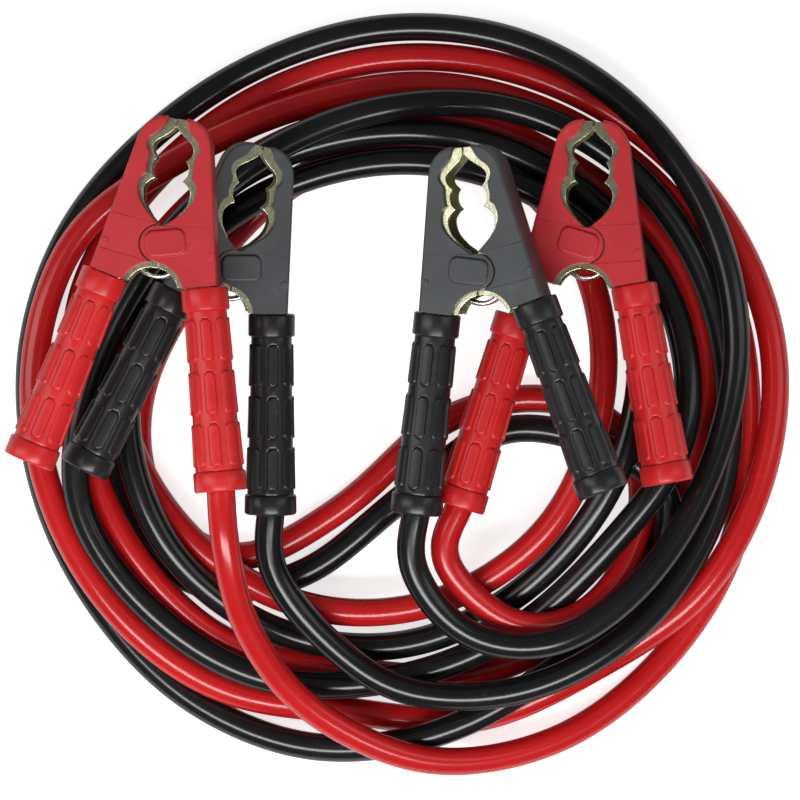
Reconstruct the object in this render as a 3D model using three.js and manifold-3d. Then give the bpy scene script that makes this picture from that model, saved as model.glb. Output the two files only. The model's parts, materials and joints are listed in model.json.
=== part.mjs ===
// A set of car jumper leads: a red cable and a black cable, coiled together and lying on a
// level floor, with a spring clamp at each of their four ends resting on top of the coil.
// Millimetres, +Z up. The origin is the middle of the box round the four clamps, and +Y
// points the way that the clamps' jaws point.

import * as THREE from 'three';
import { mergeVertices } from 'three/addons/utils/BufferGeometryUtils.js';
import Module from 'manifold-3d';

const wasm = await Module();
wasm.setup();

// Cables
const CABLE_DIAMETER = 14;
const CABLE_SIDES = 8;
const CABLE_STEPS_PER_SPAN = 2;
const CABLE_END_GAP = 1.0;
const COIL_FLOOR_CENTRE = [24, -40.5, -71.4];

// Clearance between pieces that touch
const FIT = 0.3;

// Clamp outline, seen from above with the rivet at 0, 0 and the tips towards +Y
const TIP_REACH = 61;
const TIP_HALF_WIDTH = 4.4;
const HANDLE_SPREAD = 13.5;
const HANDLE_OFFSET = 20.1;
const COVER_END = 18;
const HUB_RADIUS = 8.9;
const HUB_TO_THROAT = 0.35;
const THROAT_RADIUS = 15.75;
const THROAT_RIM = 2.55;
const THROAT_CENTRE = -(HUB_RADIUS + HUB_TO_THROAT + THROAT_RADIUS);

// Clamp thickness, as half heights from the middle plane
const COVER_TOP = 11.5;
const FIXED_STEEL_TOP = 9;
const FIXED_STEEL_INSIDE = 7.5;
const FREE_STEEL_TOP = 7.2;
const FREE_STEEL_INSIDE = 5.6;
const COVER_WALL = 2.0;
const STEEL_WALL = 1.6;

// Raised pad over the rivet
const PAD_LENGTH = 19.5;
const PAD_WIDTH = 12.8;
const PAD_CORNER = 3.5;
const PAD_RISE = 1.5;
const PAD_SHIFT = 3.5;

// Rivet
const RIVET_RADIUS = 3.5;

// Torsion spring
const SPRING_WIRE = 2.3;
const SPRING_OUTSIDE = 25;
const SPRING_TURNS = 3;
const SPRING_PITCH = 2.6;
const SPRING_LEG = 8;
const SPRING_CENTRE = -4.5;

// Handle in its sleeve
const HANDLE_START = 16.2;
const HANDLE_END = 105;
const HANDLE_INNER = -6;
const HANDLE_OUTER = 4.6;
const HANDLE_HALF_HEIGHT = 3.5;
const HANDLE_PLATE = 1.5;
const SLEEVE_LENGTH = 99;
const SLEEVE_BORE = 7.5;
const SLEEVE_SIDES = 12;

// Radii of the sleeve along its length
const SLEEVE_PROFILE = [
  [0, 11.5], [9.5, 11.5], [11, 10.1], [84, 12.0], [86, 12.9], [97.6, 12.9],
  [SLEEVE_LENGTH, 12.0],
];

// Outside edge of an arm on the right, from its tip to its lower corner
const OUTER_DRAWN = [
  [4.75, 61.8], [9, 61], [12.6, 59], [15.6, 55.8], [17.5, 52], [18.6, 47], [31.2, -15.9],
];

// Edge of the cover round the mouth, from the rivet to the tip
const COVER_MOUTH_DRAWN = [
  [5.2, 12.2], [9.8, 16.5], [12.6, 20.7], [14.2, 26], [13.7, 30], [11.0, 33], [11.5, 36],
  [11.0, 40], [11.2, 43], [13.0, 47.5], [12.2, 50.5], [7.9, 54.5], [5.3, 59.5],
];

// Edge of the steel jaw round the mouth, from the rivet to the tip
const STEEL_MOUTH_DRAWN = [
  [5.6, 12.8], [10.1, 18.6], [11.3, 24], [10.8, 27], [6.8, 31.3], [8.8, 33.5], [8.8, 36.5],
  [7.0, 39.8], [7.4, 41.5], [9.9, 45.5], [9.5, 48], [5, 52.5], [0.2, 57.4],
];

// The drawn outlines, stretched ahead of the rivet so that the tips come to their reach
const stretched = (line) => line.map(
  ([x, y]) => [x, y > 0 ? y * (TIP_REACH / OUTER_DRAWN[1][1]) : y],
);
const OUTER_EDGE = stretched(OUTER_DRAWN);
const COVER_MOUTH = stretched(COVER_MOUTH_DRAWN);
const STEEL_MOUTH = stretched(STEEL_MOUTH_DRAWN);

const radians = THREE.MathUtils.degToRad;

function arc(cx, cy, r, from, to, steps) {
  return Array.from({ length: steps + 1 }, (_, i) => {
    const a = radians(from + (to - from) * i / steps);
    return [cx + r * Math.cos(a), cy + r * Math.sin(a)];
  });
}

// An open line moved sideways, to the right of the way it runs
function inset(line, distance) {
  const normal = (a, b) => {
    const length = Math.hypot(b[0] - a[0], b[1] - a[1]);
    return [(b[1] - a[1]) / length, (a[0] - b[0]) / length];
  };
  return line.map((p, i) => {
    const before = normal(line[Math.max(i - 1, 0)], line[Math.max(i, 1)]);
    const last = line.length - 1;
    const after = normal(line[Math.min(i, last - 1)], line[Math.min(i + 1, last)]);
    const scale = distance / (1 + before[0] * after[0] + before[1] * after[1]);
    return [p[0] + scale * (before[0] + after[0]), p[1] + scale * (before[1] + after[1])];
  });
}

// A flat outline made into a plate between two heights
function plate(points, low, high) {
  const shape = new THREE.Shape(points.map(([x, y]) => new THREE.Vector2(x, y)));
  const geometry = new THREE.ExtrudeGeometry(shape, { depth: high - low, bevelEnabled: false });
  return geometry.translate(0, 0, low);
}

// A block given by its ranges along the handle, across it and in height
function handleBlock(along, across, height) {
  const size = [across, along, height].map(([low, high]) => high - low);
  const middle = [across, along, height].map(([low, high]) => (low + high) / 2);
  const geometry = new THREE.BoxGeometry(...size);
  geometry.translate(middle[0], -middle[1], middle[2]);
  return toHandle(geometry);
}

// From a handle drawn straight down to its place on the right arm
function toHandle(geometry) {
  geometry.rotateZ(radians(HANDLE_SPREAD));
  return geometry.translate(HANDLE_OFFSET, 0, 0);
}

// A point on the right arm's handle, from its distance along and across
function handlePoint(along, across) {
  const s = Math.sin(radians(HANDLE_SPREAD));
  const c = Math.cos(radians(HANDLE_SPREAD));
  return [HANDLE_OFFSET + along * s + across * c, -along * c + across * s];
}

function toSolid(geometry) {
  const bare = geometry.clone();
  bare.deleteAttribute('normal');
  bare.deleteAttribute('uv');
  const merged = mergeVertices(bare, 1e-4);
  return new wasm.Manifold(new wasm.Mesh({
    numProp: 3,
    vertProperties: new Float32Array(merged.attributes.position.array),
    triVerts: new Uint32Array(merged.index.array),
  }));
}

function toGeometry(solid) {
  const mesh = solid.getMesh();
  const geometry = new THREE.BufferGeometry();
  geometry.setAttribute('position', new THREE.BufferAttribute(mesh.vertProperties, 3));
  geometry.setIndex(new THREE.BufferAttribute(mesh.triVerts, 1));
  geometry.computeVertexNormals();
  return geometry;
}

// The first geometry, joined with one list and then cut by another
function combine(first, joined, cut) {
  let solid = toSolid(first);
  for (const geometry of joined) solid = solid.add(toSolid(geometry));
  for (const geometry of cut) solid = solid.subtract(toSolid(geometry));
  return toGeometry(solid);
}

// The same piece on the left arm
function mirrored(geometry) {
  const copy = geometry.index ? geometry.toNonIndexed() : geometry.clone();
  const p = copy.attributes.position;
  for (let i = 0; i < p.count; i += 3) {
    const a = [p.getX(i), p.getY(i), p.getZ(i)];
    const b = [p.getX(i + 2), p.getY(i + 2), p.getZ(i + 2)];
    p.setXYZ(i, -b[0], b[1], b[2]);
    p.setXYZ(i + 1, -p.getX(i + 1), p.getY(i + 1), p.getZ(i + 1));
    p.setXYZ(i + 2, -a[0], a[1], a[2]);
  }
  copy.deleteAttribute('normal');
  copy.deleteAttribute('uv');
  const merged = mergeVertices(copy, 1e-4);
  merged.computeVertexNormals();
  return merged;
}

// Lower edge of an arm: along the end of the cover, then round the throat
function throat(radius, along, lastAngle) {
  const [x, y] = handlePoint(along, 0);
  const slope = Math.tan(radians(HANDLE_SPREAD));
  let angle = 10;
  const below = (a) => {
    const [px, py] = arc(0, THROAT_CENTRE, radius, a, a, 1)[0];
    return py < y + (px - x) * slope;
  };
  while (below(angle)) angle += 0.1;
  return arc(0, THROAT_CENTRE, radius, angle, lastAngle, 6);
}

// The space inside a cover or a steel channel, open to the mouth and to the throat
function cavity(wall, top) {
  const edge = inset(OUTER_EDGE, wall).map(([x, y]) => [x, Math.min(y, top)]);
  const [lastX, lastY] = edge[edge.length - 1];
  const [beforeX, beforeY] = edge[edge.length - 2];
  const slope = (lastX - beforeX) / (lastY - beforeY);
  return [[-30, top], [edge[0][0], top], ...edge.slice(1), [lastX - 20 * slope, lastY - 20],
    [-30, lastY - 20]];
}

// The rounded pad outline, its long side across the handle
function padOutline() {
  const halfX = PAD_LENGTH / 2 - PAD_CORNER;
  const halfY = PAD_WIDTH / 2 - PAD_CORNER;
  const corners = [[halfX, halfY, 0], [-halfX, halfY, 90], [-halfX, -halfY, 180],
    [halfX, -halfY, 270]];
  return corners.flatMap(([x, y, a]) => arc(x, y, PAD_CORNER, a, a + 90, 3));
}

// Plastic cover of the arm that holds the cable, with the round plate over the rivet
function fixedCover() {
  const outline = [
    ...OUTER_EDGE,
    ...throat(THROAT_RADIUS, COVER_END, 84),
    ...arc(0, 0, HUB_RADIUS, -96, -264, 12),
    ...COVER_MOUTH,
  ];
  const pad = plate(padOutline(), COVER_TOP - 1, COVER_TOP + PAD_RISE);
  pad.rotateZ(radians(HANDLE_SPREAD)).translate(PAD_SHIFT, 0.6, 0);
  const inside = FIXED_STEEL_TOP + FIT;
  const space = cavity(COVER_WALL, TIP_REACH - 1.2);
  return combine(plate(outline, -COVER_TOP, COVER_TOP), [pad], [plate(space, -inside, inside)]);
}

// Plastic cover of the arm that swings, cut back round the hub
function freeCover() {
  const outline = [
    ...OUTER_EDGE,
    ...throat(THROAT_RADIUS, COVER_END, 80),
    ...arc(0, 0, HUB_RADIUS + 0.7, -74.5, 79, 9),
    ...COVER_MOUTH,
  ];
  const inside = FREE_STEEL_TOP + FIT;
  const space = cavity(COVER_WALL, TIP_REACH - 1.2);
  return combine(plate(outline, -COVER_TOP, COVER_TOP), [], [plate(space, -inside, inside)]);
}

// Pressed steel arm: a channel with jaw edges, a hub plate above and below, and a handle
function steelArm(top, inside, throatAngle, hubFrom, slip) {
  const edge = inset(OUTER_EDGE, COVER_WALL + FIT);
  const outline = [
    [0.2, TIP_REACH], [TIP_HALF_WIDTH, TIP_REACH], ...edge,
    ...throat(THROAT_RADIUS - THROAT_RIM, COVER_END - FIT, throatAngle),
    ...arc(0, 0, HUB_RADIUS - 0.2, hubFrom, -275, 12),
    ...STEEL_MOUTH,
  ];
  const [slide, out] = slip;
  const grown = COVER_WALL + FIT + STEEL_WALL;
  const space = plate(cavity(grown, TIP_REACH - 4.5), -inside, inside);
  const hole = new THREE.CylinderGeometry(RIVET_RADIUS + FIT, RIVET_RADIUS + FIT, 30, 12);
  hole.rotateX(Math.PI / 2);
  const end = COVER_END - FIT;
  const web = handleBlock([HANDLE_START, end], [-9, HANDLE_OUTER], [-top, top]);
  const height = [-HANDLE_HALF_HEIGHT, HANDLE_HALF_HEIGHT];
  const root = handleBlock([HANDLE_START, COVER_END + 6], [HANDLE_INNER, HANDLE_OUTER], height);
  const across = [HANDLE_INNER + out, HANDLE_OUTER + out];
  const handle = handleBlock([COVER_END + FIT, HANDLE_END + slide], across, height);
  const flute = HANDLE_HALF_HEIGHT - HANDLE_PLATE;
  const channel = handleBlock(
    [COVER_END + 7, HANDLE_END + slide + 1],
    [HANDLE_INNER + out - 1, HANDLE_OUTER + out - HANDLE_PLATE],
    [-flute, flute],
  );
  const body = toGeometry(toSolid(plate(outline, -top, top)).subtract(toSolid(space)));
  return combine(body, [web, root, handle], [hole, channel]);
}

const fixedSteel = (slip) => steelArm(FIXED_STEEL_TOP, FIXED_STEEL_INSIDE, 83.7, -83, slip);
const freeSteel = () => steelArm(FREE_STEEL_TOP, FREE_STEEL_INSIDE, 95, -100, [0, 0]);

// Soft sleeve over a handle, a turned shape with a bore right through
function sleeve(slip) {
  const outside = SLEEVE_PROFILE.map(([y, r]) => new THREE.Vector2(r, -y));
  const profile = [
    new THREE.Vector2(SLEEVE_BORE, -SLEEVE_LENGTH),
    ...outside.reverse(),
    new THREE.Vector2(SLEEVE_BORE, 0),
    new THREE.Vector2(SLEEVE_BORE, -SLEEVE_LENGTH),
  ];
  const turned = toGeometry(toSolid(new THREE.LatheGeometry(profile, SLEEVE_SIDES)));
  turned.translate(slip[1], -(COVER_END + 0.5 + slip[0]), 0);
  return toHandle(turned);
}

function rivet() {
  const height = 2 * FIXED_STEEL_TOP - 0.2;
  const geometry = new THREE.CylinderGeometry(RIVET_RADIUS, RIVET_RADIUS, height, 12);
  return geometry.rotateX(Math.PI / 2);
}

// Leg, turns of a true coil, leg
class SpringCurve extends THREE.Curve {
  getPoint(t) {
    const radius = (SPRING_OUTSIDE - SPRING_WIRE) / 2;
    const turned = 2 * Math.PI * radius * SPRING_TURNS;
    const s = t * (turned + 2 * SPRING_LEG) - SPRING_LEG;
    const angle = Math.PI / 2 + THREE.MathUtils.clamp(s, 0, turned) / radius;
    const straight = s < 0 ? s : Math.max(s - turned, 0);
    const rise = (THREE.MathUtils.clamp(s / turned, 0, 1) - 0.5) * SPRING_PITCH * SPRING_TURNS;
    return new THREE.Vector3(
      radius * Math.cos(angle) - straight,
      SPRING_CENTRE + radius * Math.sin(angle),
      rise,
    );
  }
}

function roundSection(radius, sides) {
  const half = 180 / sides;
  const points = arc(0, 0, radius, half, 360 + half, sides).slice(0, -1);
  return new THREE.Shape(points.map(([x, y]) => new THREE.Vector2(x, y)));
}

function spring() {
  return new THREE.ExtrudeGeometry(roundSection(SPRING_WIRE / 2, 6), {
    steps: 11 * SPRING_TURNS,
    bevelEnabled: false,
    extrudePath: new SpringCurve(),
  });
}

// Where each clamp lies. The place is its rivet's, seen from the middle of the coil at floor
// level. Yaw turns the tips to the left, and the slopes are the rises of its middle plane
// towards +X and +Y. cableSide is 1 where the cable's arm is on the right. slip moves that
// arm's sleeve along its handle and outwards.
const CLAMPS = [
  {
    name: 'red_clamp_1', colour: 'red', cableSide: 1,
    place: [-116.4, 75.75, 90.9], yaw: -8.8, slopes: [0.052, -0.009], slip: [0, 0],
  },
  {
    name: 'black_clamp_1', colour: 'black', cableSide: 1,
    place: [-82.5, 65.6, 60.0], yaw: -13.9, slopes: [-0.109, 0.069], slip: [0, 0],
  },
  {
    name: 'black_clamp_2', colour: 'black', cableSide: -1,
    place: [39.75, 63.0, 76.45], yaw: 6.9, slopes: [0.264, 0.048], slip: [0, 0],
  },
  {
    name: 'red_clamp_2', colour: 'red', cableSide: -1,
    place: [92.3, 76.05, 52.9], yaw: -3.8, slopes: [0.104, -0.023], slip: [20, 2.7],
  },
];

// The route of each cable, seen from the middle of the coil at floor level. The points lie
// on the cable's own middle line, and its two ends are the mouths of its clamps' sleeves.
const RED_ROUTE = [
  [-85, -71, 92], [-74.5, -113, 73], [-43.5, -153.5, 50.5], [15, -180, 30.5],
  [80, -170, 15], [133, -130, 8], [167.5, -73.5, 7], [175, -8.5, 7], [164.5, 55.5, 7],
  [128.5, 109, 7], [76, 144, 7.5], [13.5, 158.5, 10.5], [-50.5, 147.5, 16],
  [-110.5, 120.5, 22], [-162, 81.5, 22], [-183, 19, 21.5], [-175.5, -46.5, 21.5],
  [-143.5, -104, 21], [-92, -144, 16], [-28, -156, 9], [38, -160.5, 7], [98.5, -134, 11],
  [151, -95.5, 21], [182, -36.5, 20.5], [187, 30, 13], [162, 92, 7.5], [115, 139.5, 7],
  [53.5, 167.5, 7], [-12, 171.5, 7], [-74.5, 150.5, 7], [-125.5, 109.5, 7.5],
  [-159.5, 54.5, 10.5], [-160.5, -11.5, 18], [-136.5, -73, 20.5], [-90, -120, 12.5],
  [-26, -136, 7.5], [40.5, -137.5, 7], [99.5, -106, 7], [137.5, -52.5, 7], [154.5, 11.5, 7],
  [135.5, 75, 7], [86, 118, 7], [25, 142.5, 7], [-41.5, 136.5, 8], [-100, 102, 14],
  [-138, 48, 23.5], [-137, -18, 22.5], [-100, -74.5, 22], [-41.5, -104.5, 22.5],
  [23, -99.5, 26.5], [76, -61.5, 33], [100.5, 0, 32.5], [94.5, 64, 19], [56.5, 114.5, 8.5],
  [-4, 128.5, 7], [-61.5, 104, 7], [-104.5, 56, 7], [-131, 1, 7], [-124.5, -51.5, 7],
  [-82.5, -80, 7], [-28, -53.5, 7], [19.5, -11.5, 7], [67, 1.5, 7], [105, -9.5, 8],
  [121.5, -35.5, 7.5], [119.5, -65, 18], [106, -94, 27], [81, -112, 35.5],
  [50.5, -109, 41.5], [20, -78, 47],
];
const BLACK_ROUTE = [
  [-64.5, -82.5, 45.5], [-38.5, -117.5, 39.5], [3, -145, 36.5], [64, -143.5, 36],
  [120.5, -111.5, 31.5], [156.5, -57.5, 24], [165, 6, 19], [149, 69.5, 20],
  [109, 120.5, 22], [50, 147, 25], [-15, 144, 32.5], [-75, 117, 41], [-122, 72, 45],
  [-152.5, 13.5, 39], [-160.5, -50.5, 33], [-124.5, -105.5, 28], [-69.5, -139, 23],
  [-4.5, -140, 22], [56.5, -116.5, 22.5], [104.5, -72.5, 33], [141, -18.5, 38],
  [136.5, 45.5, 28.5], [98.5, 98.5, 20.5], [39.5, 130, 20.5], [-27, 132, 22],
  [-89, 106, 27.5], [-124.5, 50.5, 33], [-136, -15.5, 38], [-113.5, -76.5, 32.5],
  [-62.5, -115.5, 21], [1.5, -123, 15], [60, -96.5, 20], [102.5, -47, 33.5],
  [120, 14.5, 36.5], [104, 74, 31], [53.5, 110, 24.5], [-8, 119.5, 22], [-72, 100.5, 21.5],
  [-120, 57.5, 13.5], [-146.5, 0.5, 7.5], [-140, -55, 7], [-101.5, -93, 7],
  [-48.5, -87.5, 7], [1.5, -49, 7.5], [49.5, -15, 11.5], [98.5, -21.5, 19.5],
  [134.5, -47, 23], [122.5, -95, 19.5], [75.5, -136, 20.5], [18.5, -167, 21.5],
  [-46, -174, 12.5], [-106.5, -149.5, 7.5], [-152, -102, 7], [-180, -43, 7],
  [-186, 22.5, 7], [-166, 84.5, 7], [-123, 134.5, 7], [-67.5, 170.5, 7], [-4, 187.5, 8],
  [62, 179, 14.5], [117.5, 144, 22], [155, 90, 27.5], [168, 26, 33], [153.5, -38, 36.5],
  [120, -91, 42.5], [76, -120.5, 50.5], [32, -115.5, 54], [5, -82, 58.5],
];

// Looks of the materials
const LOOKS = {
  redCover: { color: 0xcf3540, roughness: 0.55, metalness: 0 },
  blackCover: { color: 0x505254, roughness: 0.6, metalness: 0 },
  redSleeve: { color: 0xd72626, roughness: 0.5, metalness: 0 },
  blackSleeve: { color: 0x303236, roughness: 0.55, metalness: 0 },
  redCable: { color: 0xc81c1c, roughness: 0.4, metalness: 0 },
  blackCable: { color: 0x141416, roughness: 0.4, metalness: 0 },
  steel: { color: 0xd7cd8c, roughness: 0.35, metalness: 1 },
  spring: { color: 0xd0d2d4, roughness: 0.25, metalness: 1 },
};

function piece(name, geometry, look) {
  const mesh = new THREE.Mesh(geometry, new THREE.MeshStandardMaterial(LOOKS[look]));
  mesh.name = name;
  return mesh;
}

// One clamp as a group whose own frame has its rivet at the origin, its tips towards +Y and
// its upper face towards +Z
function makeClamp({ name, colour, cableSide, place, yaw, slopes, slip }) {
  const onCableSide = (geometry) => (cableSide > 0 ? geometry : mirrored(geometry));
  const onFreeSide = (geometry) => (cableSide > 0 ? mirrored(geometry) : geometry);
  const group = new THREE.Group();
  group.add(
    piece(`${name}_cable_jaw`, onCableSide(fixedSteel(slip)), 'steel'),
    piece(`${name}_cable_jaw_cover`, onCableSide(fixedCover()), `${colour}Cover`),
    piece(`${name}_cable_sleeve`, onCableSide(sleeve(slip)), `${colour}Sleeve`),
    piece(`${name}_free_jaw`, onFreeSide(freeSteel()), 'steel'),
    piece(`${name}_free_jaw_cover`, onFreeSide(freeCover()), `${colour}Cover`),
    piece(`${name}_free_sleeve`, onFreeSide(sleeve([0, 0])), `${colour}Sleeve`),
    piece(`${name}_rivet`, rivet(), 'steel'),
    piece(`${name}_spring`, spring(), 'spring'),
  );
  const up = new THREE.Vector3(-slopes[0], -slopes[1], 1).normalize();
  const [x, y] = [-Math.sin(radians(yaw)), Math.cos(radians(yaw))];
  const forward = new THREE.Vector3(x, y, slopes[0] * x + slopes[1] * y).normalize();
  const right = forward.clone().cross(up);
  group.setRotationFromMatrix(new THREE.Matrix4().makeBasis(right, forward, up));
  group.position.set(...place);
  return group;
}

// The point where a cable leaves its clamp, just past the mouth of the sleeve
function cableEnd(group, { cableSide, slip }) {
  const along = COVER_END + 0.5 + SLEEVE_LENGTH + slip[0] + CABLE_END_GAP;
  const [x, y] = handlePoint(along, slip[1]);
  group.updateMatrixWorld(true);
  return new THREE.Vector3(cableSide * x, y, 0).applyMatrix4(group.matrix);
}

// A cable as a tube along its route, in equal steps between the route's points
function makeCable(name, route, ends, look) {
  const points = [ends[0], ...route.map((p) => new THREE.Vector3(...p)), ends[1]];
  const path = new THREE.CatmullRomCurve3(points, false, 'catmullrom', 0.5);
  path.getUtoTmapping = (u) => u;
  const geometry = new THREE.ExtrudeGeometry(roundSection(CABLE_DIAMETER / 2, CABLE_SIDES), {
    steps: (points.length - 1) * CABLE_STEPS_PER_SPAN,
    bevelEnabled: false,
    extrudePath: path,
  });
  return piece(name, geometry, look);
}

const leads = new THREE.Group();
leads.name = 'jumper_leads';
leads.position.set(...COIL_FLOOR_CENTRE);

const clamps = CLAMPS.map(makeClamp);
const ends = clamps.map((group, i) => cableEnd(group, CLAMPS[i]));
leads.add(...clamps);
leads.add(makeCable('red_cable', RED_ROUTE, [ends[0], ends[3]], 'redCable'));
leads.add(makeCable('black_cable', BLACK_ROUTE, [ends[1], ends[2]], 'blackCable'));

export default leads;
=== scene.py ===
# %% [markdown]
# # Car jumper leads, coiled on a table
# Two round cables, one red and one black, lie coiled together, and the four battery clamps
# on their ends rest on top of the coil. The solids come first as a fixed frame. Each visible
# piece is then made again as a smooth surface in the same place, and gets its finish.

# %% Load the fixed frame
import json
import bpy
import numpy as np
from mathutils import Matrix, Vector


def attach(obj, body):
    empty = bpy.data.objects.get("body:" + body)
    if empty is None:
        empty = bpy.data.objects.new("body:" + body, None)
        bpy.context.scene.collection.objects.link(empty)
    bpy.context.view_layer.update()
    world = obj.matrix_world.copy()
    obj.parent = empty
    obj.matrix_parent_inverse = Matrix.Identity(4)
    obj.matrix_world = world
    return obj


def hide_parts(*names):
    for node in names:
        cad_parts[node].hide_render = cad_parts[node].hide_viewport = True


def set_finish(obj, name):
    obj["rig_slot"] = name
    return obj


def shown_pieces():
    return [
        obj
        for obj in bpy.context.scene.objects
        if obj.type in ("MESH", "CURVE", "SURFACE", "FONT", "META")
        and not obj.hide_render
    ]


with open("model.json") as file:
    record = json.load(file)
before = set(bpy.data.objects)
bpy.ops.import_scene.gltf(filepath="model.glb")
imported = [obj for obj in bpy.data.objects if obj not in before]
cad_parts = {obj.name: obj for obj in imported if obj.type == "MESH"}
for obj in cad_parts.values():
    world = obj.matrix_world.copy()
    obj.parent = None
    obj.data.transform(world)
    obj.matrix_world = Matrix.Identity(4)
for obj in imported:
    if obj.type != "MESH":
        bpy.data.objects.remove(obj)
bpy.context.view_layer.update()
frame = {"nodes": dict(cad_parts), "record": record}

# %% [markdown]
# ## The floor's place and the camera
# The photograph looks straight down on the coil. A long lens far above does the same: it
# keeps the high clamps nearly as small as the low cables. A lens of 223 mm at 2.5 m sees a
# square of 0.4 m at the height of the cables.

# %% Camera
MM = 0.001
COIL = np.array([24.0, -40.5, -71.4])          # middle of the coil on the floor, in mm

def make_camera(height, focal):
    data = bpy.data.cameras.new("camera")
    data.lens = focal
    data.sensor_width = 36.0
    data.clip_end = 20.0
    camera = bpy.data.objects.new("camera", data)
    camera.location = (COIL + [0, 0, height]) * MM
    bpy.context.scene.collection.objects.link(camera)
    bpy.context.scene.camera = camera
    return camera

camera = make_camera(2500.0, 223.0)
print("camera at", [round(x, 4) for x in camera.location])

# %% [markdown]
# ## Surfaces from grids
# A grid of points with two parameters can be closed in both directions, as on a ring, or in
# one, as on a tube. The faces are worked out once for the whole grid, so that no loop runs
# over the points. A mesh like this is exact, and easy to subdivide or colour later.

# %% Grid helpers
def grid_faces(rows, columns, close_rows=False, close_columns=True, start=0):
    """Quads of a grid stored row by row: corner (i, j), (i, j+1), (i+1, j+1), (i+1, j)."""
    i = np.arange(rows if close_rows else rows - 1)
    j = np.arange(columns if close_columns else columns - 1)
    i, j = np.meshgrid(i, j, indexing="ij")
    i2, j2 = (i + 1) % rows, (j + 1) % columns
    quads = [i * columns + j, i * columns + j2, i2 * columns + j2, i2 * columns + j]
    return np.stack(quads, -1).reshape(-1, 4) + start

def outward(points, polygons):
    """The volume is the sum of p0 . (p1 x p2) / 6 over the fan of triangles of each face.
    If it is negative the faces point inwards, and every face is turned round."""
    total = 0.0
    for size in sorted({len(p) for p in polygons}):
        f = np.array([p for p in polygons if len(p) == size])
        for k in range(1, size - 1):
            a, b, c = points[f[:, 0]], points[f[:, k]], points[f[:, k + 1]]
            total += np.einsum("ij,ij->", a, np.cross(b, c))
    return polygons if total > 0 else [list(p)[::-1] for p in polygons]

def make_mesh(name, points, polygons, uv=None, smooth=True):
    """A mesh object from points in mm and lists of corner numbers."""
    mesh = bpy.data.meshes.new(name)
    mesh.from_pydata((np.asarray(points) * MM).tolist(), [], [list(p) for p in polygons])
    mesh.validate()
    mesh.polygons.foreach_set("use_smooth", [smooth] * len(mesh.polygons))
    if uv is not None:
        corners = np.zeros(len(mesh.loops), np.int32)
        mesh.loops.foreach_get("vertex_index", corners)
        layer = mesh.uv_layers.new(name="along")
        layer.data.foreach_set("uv", uv[corners].astype(np.float32).ravel())
    mesh.update()
    piece = bpy.data.objects.new(name, mesh)
    bpy.context.scene.collection.objects.link(piece)
    return piece

def finish_piece(piece, body, slot, nodes=(), edges=None):
    """Rides on its body, stands for its nodes and shades smooth up to an edge angle."""
    if edges is not None:
        piece.data.set_sharp_from_angle(angle=np.radians(edges))
    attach(piece, body)
    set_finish(piece, slot)
    if nodes:
        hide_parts(*nodes)
    return piece

print("grid of 3 by 4 has", len(grid_faces(3, 4)), "faces")

# %% [markdown]
# ## Where the clamps lie
# Each clamp is drawn flat in its own frame: x to the right, y to the jaw tips, z up out of
# its face, with the rivet at zero. Three unit vectors and a place carry that drawing to the
# coil. The vectors come from the clamp's turn and from how its middle plane slopes.

# %% Clamp frames
HANDLE_SPREAD = np.radians(13.5)
HANDLE_OFFSET = 20.1
COVER_END = 18.0
SLEEVE_LENGTH = 99.0
ROOT = "leads_and_cable_side_arms"

CLAMPS = {
    "red_clamp_1": dict(colour="red", side=1, place=(-116.4, 75.75, 90.9), yaw=-8.8,
                        slopes=(0.052, -0.009), slip=(0, 0)),
    "black_clamp_1": dict(colour="black", side=1, place=(-82.5, 65.6, 60.0), yaw=-13.9,
                          slopes=(-0.109, 0.069), slip=(0, 0)),
    "black_clamp_2": dict(colour="black", side=-1, place=(39.75, 63.0, 76.45), yaw=6.9,
                          slopes=(0.264, 0.048), slip=(0, 0)),
    "red_clamp_2": dict(colour="red", side=-1, place=(92.3, 76.05, 52.9), yaw=-3.8,
                        slopes=(0.104, -0.023), slip=(20, 2.7)),
}

def unit(v):
    return v / np.linalg.norm(v, axis=-1, keepdims=True)

def clamp_axes(clamp):
    """Up is across both slopes, forward is the yaw direction in the plane, right is theirs."""
    b, c = clamp["slopes"]
    up = unit(np.array([-b, -c, 1.0]))
    yaw = np.radians(clamp["yaw"])
    x, y = -np.sin(yaw), np.cos(yaw)
    forward = unit(np.array([x, y, b * x + c * y]))
    return np.cross(forward, up), forward, up

def to_world(clamp, points):
    """place + x * right + y * forward + z * up, for every point at once."""
    right, forward, up = clamp_axes(clamp)
    p = np.asarray(points, float)
    origin = COIL + clamp["place"]
    return origin + p[..., :1] * right + p[..., 1:2] * forward + p[..., 2:3] * up

def on_handle(along, across, height=0.0):
    """Right handle: out from the rivet by the offset, then down and outwards at the spread."""
    s, c = np.sin(HANDLE_SPREAD), np.cos(HANDLE_SPREAD)
    along, across, height = np.broadcast_arrays(along, across, height)
    x = HANDLE_OFFSET + along * s + across * c
    return np.stack([x, -along * c + across * s, height + 0.0], -1)

for name, clamp in CLAMPS.items():
    print(name, "tilts by", round(float(np.degrees(np.arccos(clamp_axes(clamp)[2][2]))), 1))

# %% [markdown]
# ## The cables
# Each cable is one flexible round cord that leaves the sleeve of one clamp, runs through
# about four turns of the coil and ends in the sleeve of another. A physics simulation of
# such a pile is slow and never repeats the pile in the photograph. So the route is a list of
# points read from it, with heights that let every crossing pass over or under. A smooth
# curve goes through them, and a round profile is carried along that curve.

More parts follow.
